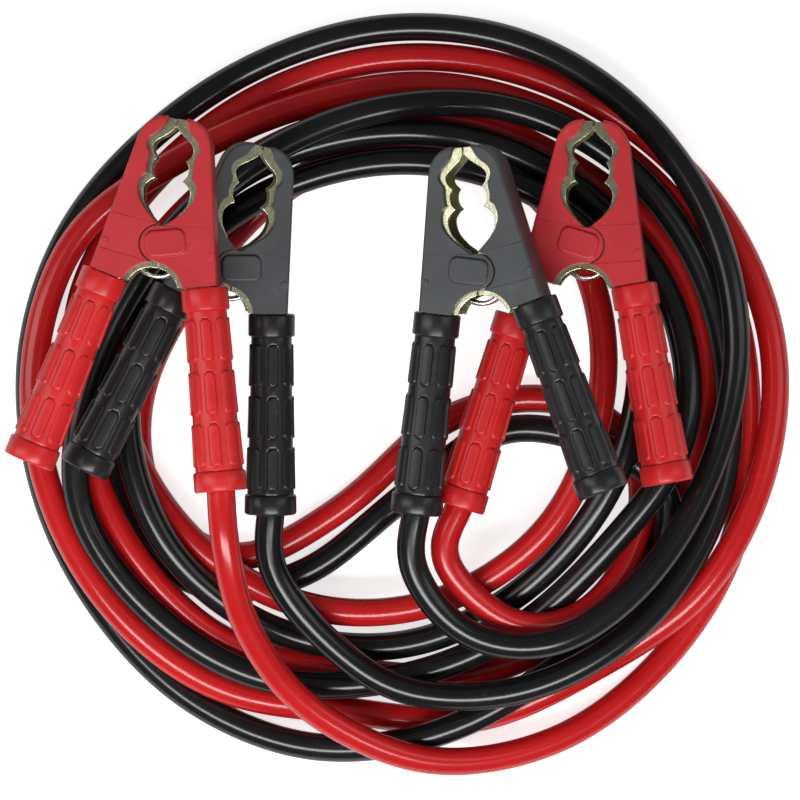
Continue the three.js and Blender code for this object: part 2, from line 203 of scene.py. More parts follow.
# %% Cable routes
CABLE_DIAMETER = 14.0
CABLE_END_GAP = 1.0
RED_ROUTE = [
    (-85, -71, 92), (-74.5, -113, 73), (-43.5, -153.5, 50.5), (15, -180, 30.5),
    (80, -170, 15), (133, -130, 8), (167.5, -73.5, 7), (175, -8.5, 7), (164.5, 55.5, 7),
    (128.5, 109, 7), (76, 144, 7.5), (13.5, 158.5, 10.5), (-50.5, 147.5, 16),
    (-110.5, 120.5, 22), (-162, 81.5, 22), (-183, 19, 21.5), (-175.5, -46.5, 21.5),
    (-143.5, -104, 21), (-92, -144, 16), (-28, -156, 9), (38, -160.5, 7),
    (98.5, -134, 11), (151, -95.5, 21), (182, -36.5, 20.5), (187, 30, 13), (162, 92, 7.5),
    (115, 139.5, 7), (53.5, 167.5, 7), (-12, 171.5, 7), (-74.5, 150.5, 7),
    (-125.5, 109.5, 7.5), (-159.5, 54.5, 10.5), (-160.5, -11.5, 18), (-136.5, -73, 20.5),
    (-90, -120, 12.5), (-26, -136, 7.5), (40.5, -137.5, 7), (99.5, -106, 7),
    (137.5, -52.5, 7), (154.5, 11.5, 7), (135.5, 75, 7), (86, 118, 7), (25, 142.5, 7),
    (-41.5, 136.5, 8), (-100, 102, 14), (-138, 48, 23.5), (-137, -18, 22.5),
    (-100, -74.5, 22), (-41.5, -104.5, 22.5), (23, -99.5, 26.5), (76, -61.5, 33),
    (100.5, 0, 32.5), (94.5, 64, 19), (56.5, 114.5, 8.5), (-4, 128.5, 7),
    (-61.5, 104, 7), (-104.5, 56, 7), (-131, 1, 7), (-124.5, -51.5, 7), (-82.5, -80, 7),
    (-28, -53.5, 7), (19.5, -11.5, 7), (67, 1.5, 7), (105, -9.5, 8), (121.5, -35.5, 7.5),
    (119.5, -65, 18), (106, -94, 27), (81, -112, 35.5), (50.5, -109, 41.5), (20, -78, 47),
]
BLACK_ROUTE = [
    (-64.5, -82.5, 45.5), (-38.5, -117.5, 39.5), (3, -145, 36.5), (64, -143.5, 36),
    (120.5, -111.5, 31.5), (156.5, -57.5, 24), (165, 6, 19), (149, 69.5, 20),
    (109, 120.5, 22), (50, 147, 25), (-15, 144, 32.5), (-75, 117, 41), (-122, 72, 45),
    (-152.5, 13.5, 39), (-160.5, -50.5, 33), (-124.5, -105.5, 28), (-69.5, -139, 23),
    (-4.5, -140, 22), (56.5, -116.5, 22.5), (104.5, -72.5, 33), (141, -18.5, 38),
    (136.5, 45.5, 28.5), (98.5, 98.5, 20.5), (39.5, 130, 20.5), (-27, 132, 22),
    (-89, 106, 27.5), (-124.5, 50.5, 33), (-136, -15.5, 38), (-113.5, -76.5, 32.5),
    (-62.5, -115.5, 21), (1.5, -123, 15), (60, -96.5, 20), (102.5, -47, 33.5),
    (120, 14.5, 36.5), (104, 74, 31), (53.5, 110, 24.5), (-8, 119.5, 22),
    (-72, 100.5, 21.5), (-120, 57.5, 13.5), (-146.5, 0.5, 7.5), (-140, -55, 7),
    (-101.5, -93, 7), (-48.5, -87.5, 7), (1.5, -49, 7.5), (49.5, -15, 11.5),
    (98.5, -21.5, 19.5), (134.5, -47, 23), (122.5, -95, 19.5), (75.5, -136, 20.5),
    (18.5, -167, 21.5), (-46, -174, 12.5), (-106.5, -149.5, 7.5), (-152, -102, 7),
    (-180, -43, 7), (-186, 22.5, 7), (-166, 84.5, 7), (-123, 134.5, 7), (-67.5, 170.5, 7),
    (-4, 187.5, 8), (62, 179, 14.5), (117.5, 144, 22), (155, 90, 27.5), (168, 26, 33),
    (153.5, -38, 36.5), (120, -91, 42.5), (76, -120.5, 50.5), (32, -115.5, 54),
    (5, -82, 58.5),
]

def sleeve_mouth(clamp, past):
    """The point a little past the mouth of the cable's sleeve, on the sleeve's middle line."""
    slide, out = clamp["slip"]
    p = on_handle(COVER_END + 0.5 + SLEEVE_LENGTH + slide + past, out)
    return to_world(clamp, p * [clamp["side"], 1, 1])

def smooth_route(points, per_span):
    """Catmull-Rom: each span is a cubic, and its slope at a point is half the step between
    the point's neighbours."""
    p = np.vstack([2 * points[0] - points[1], points, 2 * points[-1] - points[-2]])
    t = (np.arange(per_span) / per_span)[None, :, None]
    a, b, c, d = (p[i:len(p) - 3 + i, None] for i in range(4))
    q = 0.5 * (2 * b + (c - a) * t + (2 * a - 5 * b + 4 * c - d) * t ** 2
               + (3 * b - a - 3 * c + d) * t ** 3)
    return np.vstack([q.reshape(-1, 3), points[-1:]])

def even_steps(path, step):
    """The same line, cut again into equal steps of its own length."""
    run = np.r_[0, np.cumsum(np.linalg.norm(np.diff(path, axis=0), axis=1))]
    at = np.linspace(0, run[-1], int(round(run[-1] / step)) + 1)
    return np.stack([np.interp(at, run, path[:, k]) for k in range(3)], -1), run[-1]

def soften(path, step, width):
    """A bell-shaped running mean, so the bend changes gradually. The ends stay in place."""
    reach = int(3 * width / step)
    bell = np.exp(-0.5 * (np.arange(-reach, reach + 1) * step / width) ** 2)
    bell /= bell.sum()
    before = 2 * path[0] - path[reach:0:-1]
    after = 2 * path[-1] - path[-2:-reach - 2:-1]
    long = np.vstack([before, path, after])
    return np.stack([np.convolve(long[:, k], bell, mode="valid") for k in range(3)], -1)

def cable_path(route, first, last, inside=10.0, step=3.0):
    """From inside one sleeve, along the route, to inside the other sleeve."""
    ends = [sleeve_mouth(CLAMPS[n], CABLE_END_GAP) for n in (first, last)]
    deep = [sleeve_mouth(CLAMPS[n], CABLE_END_GAP - inside) for n in (first, last)]
    points = np.vstack([ends[0], np.array(route, float) + COIL, ends[1]])
    path, _ = even_steps(smooth_route(points, 24), step)
    path = soften(path, step, 10.0)
    path, length = even_steps(np.vstack([deep[0], path, deep[1]]), step)
    return path, length, ends[0]

red_path, red_length, red_exit = cable_path(RED_ROUTE, "red_clamp_1", "red_clamp_2")
black_path, black_length, black_exit = cable_path(BLACK_ROUTE, "black_clamp_1",
                                                  "black_clamp_2")
print("cable lengths in m", round(red_length / 1000, 3), round(black_length / 1000, 3))

# %% Cable tubes
def carry_ring(path, radius, sides, up):
    """Rings of a tube: path + radius * (cos a * side + sin a * over). Side is across the
    path and across up, and over is across both, so the rings never twist."""
    ahead = unit(np.gradient(path, axis=0))
    side = unit(np.cross(ahead, up))
    over = np.cross(side, ahead)
    a = np.arange(sides) * 2 * np.pi / sides
    ring = np.cos(a)[None, :, None] * side[:, None] + np.sin(a)[None, :, None] * over[:, None]
    points = path[:, None] + radius * ring
    return points.reshape(-1, 3)

def tube(name, path, radius, sides, up):
    """A closed tube along a path. Its UV map holds the turn round it and the run in m."""
    points = carry_ring(path, radius, sides, up)
    rows = len(path)
    faces = [list(f) for f in grid_faces(rows, sides)]
    faces.append(list(range(sides))[::-1])
    faces.append(list(range((rows - 1) * sides, rows * sides)))
    run = np.r_[0, np.cumsum(np.linalg.norm(np.diff(path, axis=0), axis=1))]
    turn = np.tile(np.arange(sides) / sides, rows)
    uv = np.stack([turn, np.repeat(run, sides) * MM], -1)
    return make_mesh(name, points, outward(points - points.mean(0), faces), uv)

def make_cable(colour, path):
    cable = tube(f"{colour}_lead", path, CABLE_DIAMETER / 2, 28, np.array([0, 0, 1.0]))
    finish_piece(cable, ROOT, f"{colour}_cable", [f"{colour}_cable"], edges=40)
    return cable

red_cable = make_cable("red", red_path)
make_cable("black", black_path)
print("faces in the red cable", len(red_cable.data.polygons))

# %% [markdown]
# ## Outlines of the clamp
# Seen from above, an arm is a strip between two lines that both run from the jaw's tip down
# to the handle: the outside edge, and the edge that follows the mouth, the hub round the
# rivet and the throat below it. Real presses cut such outlines from arcs that meet at cusps.
# Here a few measured points are joined by smooth curves, and kept sharp at the cusps.

# %% Edge lines
def curve_2d(points, per_span=8):
    """A smooth line through flat points, the same cubic as the cable's route."""
    flat = np.array([(x, y, 0.0) for x, y in points])
    return smooth_route(flat, per_span)[:, :2]

def arc_2d(x, y, radius, start, end, steps):
    """Centre + radius * (cos a, sin a), with a running evenly from start to end degrees."""
    a = np.radians(np.linspace(start, end, steps))
    return np.stack([x + radius * np.cos(a), y + radius * np.sin(a)], -1)

def straight_2d(first, last, steps):
    t = np.linspace(0, 1, steps)[:, None]
    return np.array(first) * (1 - t) + np.array(last) * t

def move_sideways(line, distance):
    """Each point moves across the line, to the right of the way that it runs."""
    ahead = unit(np.gradient(line, axis=0))
    return line + distance * np.stack([ahead[:, 1], -ahead[:, 0]], -1)

HUB = 8.9
THROAT_MIDDLE, THROAT_RADIUS, STEEL_THROAT_RADIUS = -25.0, 15.75, 13.2
COVER_TOP, COVER_WALL, STEEL_WALL, FIT = 11.5, 2.0, 1.6, 0.3

SHOULDER = [(4.75, 61.8), (9, 61), (12.6, 59), (15.6, 55.8), (17.5, 52), (18.6, 47)]
OUTER_CORNER = (31.2, -15.9)
outer_edge = np.vstack([curve_2d(SHOULDER), straight_2d((18.6, 47), OUTER_CORNER, 30)[1:]])

COVER_MOUTH = [
    [(5.3, 59.5), (6.9, 56), (9.2, 53.2), (12.0, 50.6), (13.1, 47.5), (12.4, 44.8),
     (11.2, 43.2)],
    [(11.2, 43.2), (11.2, 40), (11.5, 36.2), (11.0, 33.2)],
    [(11.0, 33.2), (13.2, 31), (14.2, 27.5), (14.0, 24), (12.6, 20.5), (9.6, 16.4),
     (5.2, 12.2)],
]
STEEL_MOUTH = [
    [(0.2, 57.4), (1.9, 55.0), (5.0, 52.3), (8.6, 49.4), (9.9, 46.8), (9.4, 44.0),
     (7.2, 41.2)],
    [(7.2, 41.2), (8.6, 38.8), (9.0, 36), (8.4, 33.4), (6.8, 31.3)],
    [(6.8, 31.3), (9.2, 29.6), (11.2, 26.6), (11.3, 23), (9.9, 18.6), (5.6, 12.8)],
]
mouth_of_cover = np.vstack([curve_2d(s)[:-1] for s in COVER_MOUTH] + [[(5.2, 12.2)]])
mouth_of_steel = np.vstack([curve_2d(s)[:-1] for s in STEEL_MOUTH] + [[(5.6, 12.8)]])

def throat_edge(radius, first_angle, along):
    """An arc round the throat's centre, down to the line across the end of the cover."""
    line = arc_2d(0, THROAT_MIDDLE, radius, first_angle, 5, 400)
    start = on_handle(along, 0)[:2]
    above = line[:, 1] > start[1] + (line[:, 0] - start[0]) * np.tan(HANDLE_SPREAD)
    last = int(np.argmin(above))
    return line[np.linspace(0, last, 24).astype(int)]

inner_edges = {
    "fixed_cover": np.vstack([mouth_of_cover, arc_2d(0, 0, HUB, 80, 264, 40),
                              throat_edge(THROAT_RADIUS, 84, COVER_END)]),
    "free_cover": np.vstack([mouth_of_cover, arc_2d(0, 0, HUB + 0.7, 78, -74.5, 30),
                             throat_edge(THROAT_RADIUS, 80, COVER_END)]),
    "fixed_steel": np.vstack([mouth_of_steel, arc_2d(0, 0, HUB - 0.2, 85, 277, 40),
                              throat_edge(STEEL_THROAT_RADIUS, 83.7, COVER_END - FIT)]),
    "free_steel": np.vstack([mouth_of_steel, arc_2d(0, 0, HUB - 0.2, 85, 260, 40),
                             throat_edge(STEEL_THROAT_RADIUS, 95, COVER_END - FIT)]),
}
print({name: len(line) for name, line in inner_edges.items()})

# %% [markdown]
# ## Pressed and moulded channels
# The steel arms and their plastic covers are channels: a wall along the outside, and a plate
# above and below. A box with a boolean cut would need many small repairs on its edges. So
# one section, a C with rounded outside corners, is carried along both edge lines at once.
# Its back follows the outside edge and its two open ends follow the mouth.

# %% Channel surface
def pair_lines(outer, inner, turn=50.6):
    """Both lines get a running number from 0 to 1. In the tip it follows their own lengths,
    and below it their way down, so that each number joins points that face each other."""
    def number(line, level, share=0.16):
        run = np.r_[0, np.cumsum(np.linalg.norm(np.diff(line, axis=0), axis=1))]
        corner = int(np.argmax(line[:, 1] < level))
        top = share * run / run[corner]
        down = share + (1 - share) * (line[corner, 1] - line[:, 1]) / (
            line[corner, 1] - line[-1, 1])
        s = np.where(np.arange(len(line)) <= corner, top, down)
        return np.maximum.accumulate(s) + np.arange(len(line)) * 1e-7
    so, si = number(outer, 52.0), number(inner, turn)
    so, si = so / so[-1], si / si[-1]
    kept = si[np.r_[True, np.diff(si) > 1e-3] & (si < 0.999)]
    apart = np.abs(so[:, None] - kept[None]).min(1) > 2e-3
    s = np.unique(np.r_[kept, so[apart & (so < 0.999)], 1.0])
    pick = lambda line, at: np.stack([np.interp(s, at, line[:, k]) for k in (0, 1)], -1)
    return pick(outer, so), pick(inner, si)

def channel(outer, inner, top, inside, wall, soft_out, soft_in, corner=4):
    """The C section as columns: each column is one of the two lines, moved into the material
    by some depth, at some height. A rounded corner of radius r is at depth r (1 - cos a) and
    height top - r (1 - sin a)."""
    outer, inner = pair_lines(outer, inner)
    a = np.linspace(0, np.pi / 2, corner + 1)
    into = lambda r: r * (1 - np.cos(a))
    down = lambda r: r * (1 - np.sin(a))
    rows = [("in", 0.0, inside)]
    rows += [("in", d, top - h) for d, h in zip(into(soft_in), down(soft_in))]
    rows += [("out", d, top - h) for d, h in zip(into(soft_out)[::-1], down(soft_out)[::-1])]
    rows += [("out", d, h - top) for d, h in zip(into(soft_out), down(soft_out))]
    rows += [("in", d, h - top) for d, h in zip(into(soft_in)[::-1], down(soft_in)[::-1])]
    rows += [("in", 0.0, -inside), ("out", wall, -inside), ("out", wall, inside)]
    columns = []
    for line, depth, height in rows:
        flat = move_sideways(outer, depth) if line == "out" else move_sideways(inner, -depth)
        columns.append(np.column_stack([flat, np.full(len(flat), height)]))
    points = np.stack(columns, 1)
    n, m = points.shape[:2]
    faces = [list(f) for f in grid_faces(n, m)]
    faces += [list(range(m)), list(range((n - 1) * m, n * m))[::-1]]
    points = points.reshape(-1, 3)
    return points, outward(points, faces)

def join_shells(shells):
    """Several closed shells as one list of points and faces."""
    points, faces, start = [], [], 0
    for p, f in shells:
        points.append(p)
        faces += [[i + start for i in face] for face in f]
        start += len(p)
    return np.vstack(points), faces

def keep_plates_flat(piece, up):
    """A face whose normal is along up, either way, gets no smoothing, so the rounding
    beside it doesn't bend its shade."""
    normals = np.zeros(3 * len(piece.data.polygons))
    piece.data.polygons.foreach_get("normal", normals)
    level = np.abs(normals.reshape(-1, 3) @ up) > 0.999
    piece.data.polygons.foreach_set("use_smooth", ~level)

def place_shells(name, clamp, side, shells, body, slot, nodes=(), edges=32,
                 flat_plates=True):
    """Mirrors to its side, carries to the clamp's place and finishes as one piece."""
    placed = []
    for points, faces in shells:
        world = to_world(clamp, points * [side, 1, 1])
        placed.append((world, outward(world - world.mean(0), faces)))
    points, faces = join_shells(placed)
    piece = finish_piece(make_mesh(name, points, faces), body, slot, nodes, edges)
    if flat_plates:
        keep_plates_flat(piece, clamp_axes(clamp)[2])
    return piece

cover_shells = {
    arm: channel(outer_edge, inner_edges[edge], COVER_TOP, inside, COVER_WALL, 1.3, 0.35)
    for arm, edge, inside in (("cable", "fixed_cover", 9.3), ("free", "free_cover", 7.5))
}
print("faces in a cover", len(cover_shells["cable"][1]))

# %% [markdown]
# ## Covers and their pads
# The covers are moulded in stiff plastic, with a soft edge outside and a crisp one at the
# mouth. A raised pad sits over the rivet. It could be a bevelled box, but its corners are
# large and its sides slope. Rings of one rounded outline, each a little smaller and higher,
# give that shape directly.

# %% Covers
def rounded_rectangle(length, width, radius, steps=8):
    """Four quarter circles round the corners of a smaller rectangle."""
    x, y = length / 2 - radius, width / 2 - radius
    corners = [(x, y, 0), (-x, y, 90), (-x, -y, 180), (x, -y, 270)]
    return np.vstack([arc_2d(cx, cy, radius, a, a + 90, steps) for cx, cy, a in corners])

def ring_stack(outline, rings):
    """Rings of the outline scaled towards its middle by an inset, at rising heights."""
    reach = np.abs(outline).max(0)
    layers = [np.column_stack([outline * (1 - inset / reach), np.full(len(outline), h)])
              for inset, h in rings]
    points = np.vstack(layers)
    n, m = len(rings), len(outline)
    faces = [list(f) for f in grid_faces(n, m)]
    faces += [list(range(m))[::-1], list(range((n - 1) * m, n * m))]
    return points, outward(points, faces)

def pad_shell():
    rings = [(-0.35, 11.2), (-0.35, 11.55), (0.0, 11.75), (0.1, 12.5), (0.3, 12.8),
             (0.65, 12.97), (1.1, 13.0)]
    points, faces = ring_stack(rounded_rectangle(19.5, 12.8, 3.9), rings)
    c, s = np.cos(HANDLE_SPREAD), np.sin(HANDLE_SPREAD)
    turned = np.stack([points[:, 0] * c - points[:, 1] * s + 3.5,
                       points[:, 0] * s + points[:, 1] * c + 0.6, points[:, 2]], -1)
    return turned, faces

def snap_mark():
    """A low round button near the outside edge, where the cover snaps on to the steel."""
    a = np.linspace(0, 2 * np.pi, 28, endpoint=False)
    outline = 2.0 * np.stack([np.cos(a), np.sin(a)], -1)
    points, faces = ring_stack(outline, [(0, 11.2), (0, 11.65), (0.15, 11.82), (0.5, 11.88)])
    return points + [26.2, -2.5, 0], faces

for name, clamp in CLAMPS.items():
    slot = f"{clamp['colour']}_cover"
    place_shells(f"{name}_cable_cover_moulding", clamp, clamp["side"],
                 [cover_shells["cable"], pad_shell(), snap_mark()], ROOT, slot,
                 [f"{name}_cable_jaw_cover"])
    place_shells(f"{name}_free_cover_moulding", clamp, -clamp["side"],
                 [cover_shells["free"], snap_mark()], f"{name}_free_arm", slot,
                 [f"{name}_free_jaw_cover"])
print("covers made", 2 * len(CLAMPS))

# %% [markdown]
# ## Steel arms
# Inside each cover is an arm pressed from sheet steel. Its bare edge shows as a bright rim
# inside the mouth and below the hub. It is the same channel with its own edge lines. The
# handle is a narrower channel, a flat section carried straight along the sleeve.

# %% Steel arms
STEEL = {"cable": (9.0, 7.5, "fixed_steel"), "free": (7.2, 5.6, "free_steel")}
tip_of_steel = straight_2d((0.2, 61.0), (4.3, 61.0), 6)
steel_edge = move_sideways(outer_edge, COVER_WALL + FIT)
steel_outer = np.vstack([tip_of_steel, steel_edge[steel_edge[:, 1] < 59.4]])

def handle_channel(slide, out):
    """A U section with rounded back corners, the same at both ends of the handle."""
    r, back, front = 1.2, 4.6 + out, -6.0 + out
    a = np.radians(np.linspace(0, 90, 6))
    top = [(back - r + r * np.cos(t), 3.5 - r + r * np.sin(t)) for t in a]
    bottom = [(x, -z) for x, z in top[::-1]]
    section = top + [(front, 3.5), (front, 2.0), (back - 1.5, 2.0), (back - 1.5, -2.0),
                     (front, -2.0), (front, -3.5)] + bottom
    section = np.array(section)
    ends = [on_handle(along, section[:, 0], section[:, 1])
            for along in (COVER_END + 0.3, 105.0 + slide)]
    points = np.vstack(ends)
    m = len(section)
    faces = [list(f) for f in grid_faces(2, m)]
    faces += [list(range(m)), list(range(m, 2 * m))[::-1]]
    return points, outward(points, faces)

def handle_root(top, low=16.2, high=17.7):
    """The flat web that closes the arm's channel, and the neck that joins the handle."""
    def block(along, across, height):
        corners = [on_handle(a, c, h) for a in along for c, h in
                   ((across[0], height[0]), (across[1], height[0]),
                    (across[1], height[1]), (across[0], height[1]))]
        faces = [list(f) for f in grid_faces(2, 4)] + [[0, 1, 2, 3], [7, 6, 5, 4]]
        points = np.array(corners)
        return points, outward(points, faces)
    return [block((low, high), (-9, 4.6), (-top, top)),
            block((low, 24), (-6, 4.6), (-3.5, 3.5))]

for name, clamp in CLAMPS.items():
    for arm, side in (("cable", clamp["side"]), ("free", -clamp["side"])):
        top, inside, edge = STEEL[arm]
        slip = clamp["slip"] if arm == "cable" else (0, 0)
        shells = [channel(steel_outer, inner_edges[edge], top, inside, STEEL_WALL, 0.3, 0.3),
                  handle_channel(*slip)] + handle_root(top)
        body = ROOT if arm == "cable" else f"{name}_free_arm"
        place_shells(f"{name}_{arm}_steel_arm", clamp, side, shells, body, "zinc_steel",
                     [f"{name}_{arm}_jaw"])
print("steel arms made", 2 * len(CLAMPS))

# %% [markdown]
# ## Soft sleeves
# The handles wear soft moulded sleeves with a collar at each end and rows of long raised
# pads for grip. The pads could be a bump texture, but they stand out on the silhouette. So
# the sleeve is a turned surface whose radius is a function of the run along it and the turn
# round it, and the pads are part of that function.

# %% Sleeves
PAD_ROWS, PAD_LENGTH, PAD_HALF_WIDTH, PAD_HEIGHT = (14.6, 40.3, 65.6), 21.3, 2.75, 0.85

def step_up(x, width):
    """A smooth step from 0 to 1 while x runs from 0 to width: 3t^2 - 2t^3."""
    t = np.clip(x / width, 0, 1)
    return t * t * (3 - 2 * t)

def sleeve_radius(run, turn):
    """Body radius from a table along the sleeve, plus the pads. A pad is the points nearer
    than its half width to a short middle line, so its ends are round."""
    table = [(0, 10.9), (0.25, 11.25), (0.8, 11.5), (10.2, 11.5), (10.8, 11.3), (11.1, 10.7),
             (11.3, 9.9), (11.8, 10.0), (50, 10.6), (88.6, 11.6), (89.0, 11.5), (89.3, 12.4),
             (89.9, 12.85), (97.8, 12.9), (98.6, 12.6), (99.0, 12.1)]
    at, radius = np.array(table).T
    body = np.interp(run, at, radius)
    across = (turn * 8 - np.round(turn * 8)) / 8 * 2 * np.pi * 11.0
    distance = np.full(np.broadcast(run, turn).shape, 9.0)
    for start in PAD_ROWS:
        middle = start + PAD_LENGTH / 2
        beyond = np.maximum(np.abs(run - middle) - (PAD_LENGTH / 2 - PAD_HALF_WIDTH), 0)
        distance = np.minimum(distance, np.hypot(beyond, across))
    edge = PAD_HALF_WIDTH - distance
    groove = 0.22 * np.exp(-((edge + 0.12) / 0.22) ** 2)
    return body + PAD_HEIGHT * step_up(edge, 0.55) - groove

def sleeve_runs():
    """Steps along the sleeve: fine at the collars and the pads' ends, long between them."""
    marks = [np.array([0, 0.25, 0.8, 10.2, 10.8, 11.1, 11.3, 11.8, 88.6, 89.0, 89.3, 89.9,
                       97.8, 98.6, 99.0])]
    for start in PAD_ROWS:
        end = start + PAD_LENGTH
        marks.append(np.linspace(start - 0.6, start + 3.4, 15))
        marks.append(np.linspace(end - 3.4, end + 0.6, 15))
        marks.append(np.linspace(start + 4.5, end - 4.5, 6))
    run = np.unique(np.round(np.hstack(marks), 3))
    return run[np.r_[True, np.diff(run) > 0.05]]

def sleeve_shell(slide, out):
    """The outside from the top to the mouth, then back up inside along the plain bore."""
    run = sleeve_runs()
    across = np.array([0, 1.3, 2.0, 2.25, 2.5, 2.7, 2.85, 3.05, 3.4]) / (2 * np.pi * 11.0)
    turn = np.unique(np.round(np.r_[across, -across[1:]], 6))
    turn = (np.arange(8)[:, None] / 8 + turn[None]).ravel()
    outside = sleeve_radius(run[:, None], turn[None])
    bore_run = np.array([99.0, 98.4, 60.0, 20.0, 0.6, 0.0])
    bore = np.repeat(np.array([8.0, 7.5, 7.5, 7.5, 7.5, 8.0])[:, None], len(turn), 1)
    radius = np.vstack([outside, bore])
    along = np.r_[run, bore_run][:, None] + np.zeros_like(radius)
    a = turn[None] * 2 * np.pi
    start = COVER_END + 0.5 + slide
    points = on_handle(start + along, out + radius * np.sin(a), radius * np.cos(a))
    n, m = radius.shape
    faces = [list(f) for f in grid_faces(n, m, close_rows=True)]
    points = points.reshape(-1, 3)
    return points, outward(points, faces)

for name, clamp in CLAMPS.items():
    slot = f"{clamp['colour']}_sleeve"
    place_shells(f"{name}_cable_grip", clamp, clamp["side"], [sleeve_shell(*clamp["slip"])],
                 ROOT, slot, [f"{name}_cable_sleeve"], 50, False)
    place_shells(f"{name}_free_grip", clamp, -clamp["side"], [sleeve_shell(0, 0)],
                 f"{name}_free_arm", slot, [f"{name}_free_sleeve"], 50, False)
print("faces in a sleeve", len(sleeve_shell(0, 0)[1]))

# %% [markdown]
# ## Torsion springs
# A spring of round wire sits round each rivet and pushes the jaws shut. Its coil is a true
# helix with a straight leg at each end, and the cables' tube function carries the wire.

# %% Springs
def spring_path(wire=2.3, outside=25.0, turns=3, pitch=2.6, leg=8.0, step=0.9):
    """Round the coil the angle grows with the run and the height with the angle. Before and
    after the coil the run goes straight on."""
    radius = (outside - wire) / 2
    whole = 2 * np.pi * radius * turns
    run = np.arange(-leg, whole + leg + step, step)
    turned = np.clip(run, 0, whole)
    angle = np.pi / 2 + turned / radius
    straight = np.where(run < 0, run, np.maximum(run - whole, 0))
    height = (turned / whole - 0.5) * pitch * turns
    return np.stack([radius * np.cos(angle) - straight, -4.5 + radius * np.sin(angle),
                     height], -1)

for name, clamp in CLAMPS.items():
    path = to_world(clamp, spring_path())
    wire = tube(f"{name}_spring_wire", path, 1.15, 14, clamp_axes(clamp)[2])
    finish_piece(wire, ROOT, "spring_steel", [f"{name}_spring"], edges=40)
print("points along a spring", len(spring_path()))

# %% [markdown]
# ## Finishes: shared effects
# Plastic, rubber and plated steel differ in colour and gloss, but they age alike: colour is
# never quite even, moulds leave a fine grain, and hands leave scuffs. Each effect is built
# once as a node group that puts out a mask or a height, and each material mixes it its own
# way. All patterns read Object coordinates, so they stay with the piece when it moves.

# %% Node helpers
def new_group(name, inputs, outputs):
    """An empty node group with named number inputs and outputs."""
    group = bpy.data.node_groups.new(name, "ShaderNodeTree")
    for label, value in inputs.items():
        socket = group.interface.new_socket(label, in_out="INPUT",
                                            socket_type="NodeSocketFloat")
        socket.default_value = value
    for label in outputs:
        group.interface.new_socket(label, in_out="OUTPUT", socket_type="NodeSocketFloat")
    start = group.nodes.new("NodeGroupInput")
    end = group.nodes.new("NodeGroupOutput")
    return group, start, end

def math_node(tree, operation, a, b=0.0, clamp=False):
    node = tree.nodes.new("ShaderNodeMath")
    node.operation = operation
    node.use_clamp = clamp
    for socket, value in zip(node.inputs, (a, b)):
        if isinstance(value, (int, float)):
            socket.default_value = value
        else:
            tree.links.new(value, socket)
    return node.outputs[0]

def noise(tree, scale, detail=3.0, roughness=0.5):
    """Noise on Object coordinates, with the scale from a number or a socket."""
    place = tree.nodes.new("ShaderNodeTexCoord")
    node = tree.nodes.new("ShaderNodeTexNoise")
    tree.links.new(place.outputs["Object"], node.inputs["Vector"])
    if isinstance(scale, (int, float)):
        node.inputs["Scale"].default_value = scale
    else:
        tree.links.new(scale, node.inputs["Scale"])
    node.inputs["Detail"].default_value = detail
    node.inputs["Roughness"].default_value = roughness
    return node.outputs["Fac"]

print("node helpers ready")

# %% Shared effect groups
def uneven_group():
    """Slow noise round 0.5, stretched by Contrast: how uneven the colour is."""
    group, start, end = new_group("uneven colour", {"Scale": 40.0, "Contrast": 2.0}, ["Mask"])
    centred = math_node(group, "SUBTRACT", noise(group, start.outputs["Scale"]), 0.5)
    spread = math_node(group, "MULTIPLY", centred, start.outputs["Contrast"])
    group.links.new(math_node(group, "ADD", spread, 0.5, clamp=True), end.inputs["Mask"])
    return group

def grain_group():
    """Fine noise as a height: the texture of the mould or of rolled sheet."""
    group, start, end = new_group("fine grain", {"Scale": 900.0}, ["Height"])
    group.links.new(noise(group, start.outputs["Scale"], 4.0, 0.6), end.inputs["Height"])
    return group

def scuff_group():
    """The peaks of a middle noise times those of a slow one: patches of small scuffs."""
    group, start, end = new_group("handling scuffs", {"Scale": 260.0, "Amount": 0.6},
                                  ["Mask"])
    fine = math_node(group, "SUBTRACT", noise(group, start.outputs["Scale"], 6.0, 0.7), 0.55)
    slow = math_node(group, "SUBTRACT", noise(group, 22.0), 0.42)
    both = math_node(group, "MULTIPLY", math_node(group, "MULTIPLY", fine, 6.0, True),
                     math_node(group, "MULTIPLY", slow, 5.0, True))
    group.links.new(math_node(group, "MULTIPLY", both, start.outputs["Amount"], True),
                    end.inputs["Mask"])
    return group

uneven, grain, scuffs = uneven_group(), grain_group(), scuff_group()
print("groups", [g.name for g in bpy.data.node_groups])

# %% [markdown]
# ## Plastics and rubber
# The covers are satin moulded plastic, the sleeves a softer and smoother one, and the cables
# have a drawn skin that shows long narrow highlights. A colour ramp between two near shades
# would do for one of them. One function with a dark, a light and a scuffed shade serves all,
# so that each finish is one line of values.

# %% Plastic materials
def use_group(tree, group, **values):
    node = tree.nodes.new("ShaderNodeGroup")
    node.node_tree = group
    for label, value in values.items():
        node.inputs[label].default_value = value
    return node

def mix_colour(tree, factor, a, b):
    node = tree.nodes.new("ShaderNodeMix")
    node.data_type = "RGBA"
    tree.links.new(factor, node.inputs["Factor"])
    for socket, value in ((node.inputs["A"], a), (node.inputs["B"], b)):
        if isinstance(value, tuple):
            socket.default_value = (*value, 1.0)
        else:
            tree.links.new(value, socket)
    return node.outputs["Result"]

def new_material(name):
    material = bpy.data.materials.new(name)
    material.use_nodes = True
    tree = material.node_tree
    return material, tree, tree.nodes["Principled BSDF"]

def connect_bump(tree, shader, height, strength, distance):
    bump = tree.nodes.new("ShaderNodeBump")
    bump.inputs["Strength"].default_value = strength
    bump.inputs["Distance"].default_value = distance
    tree.links.new(height, bump.inputs["Height"])
    tree.links.new(bump.outputs["Normal"], shader.inputs["Normal"])

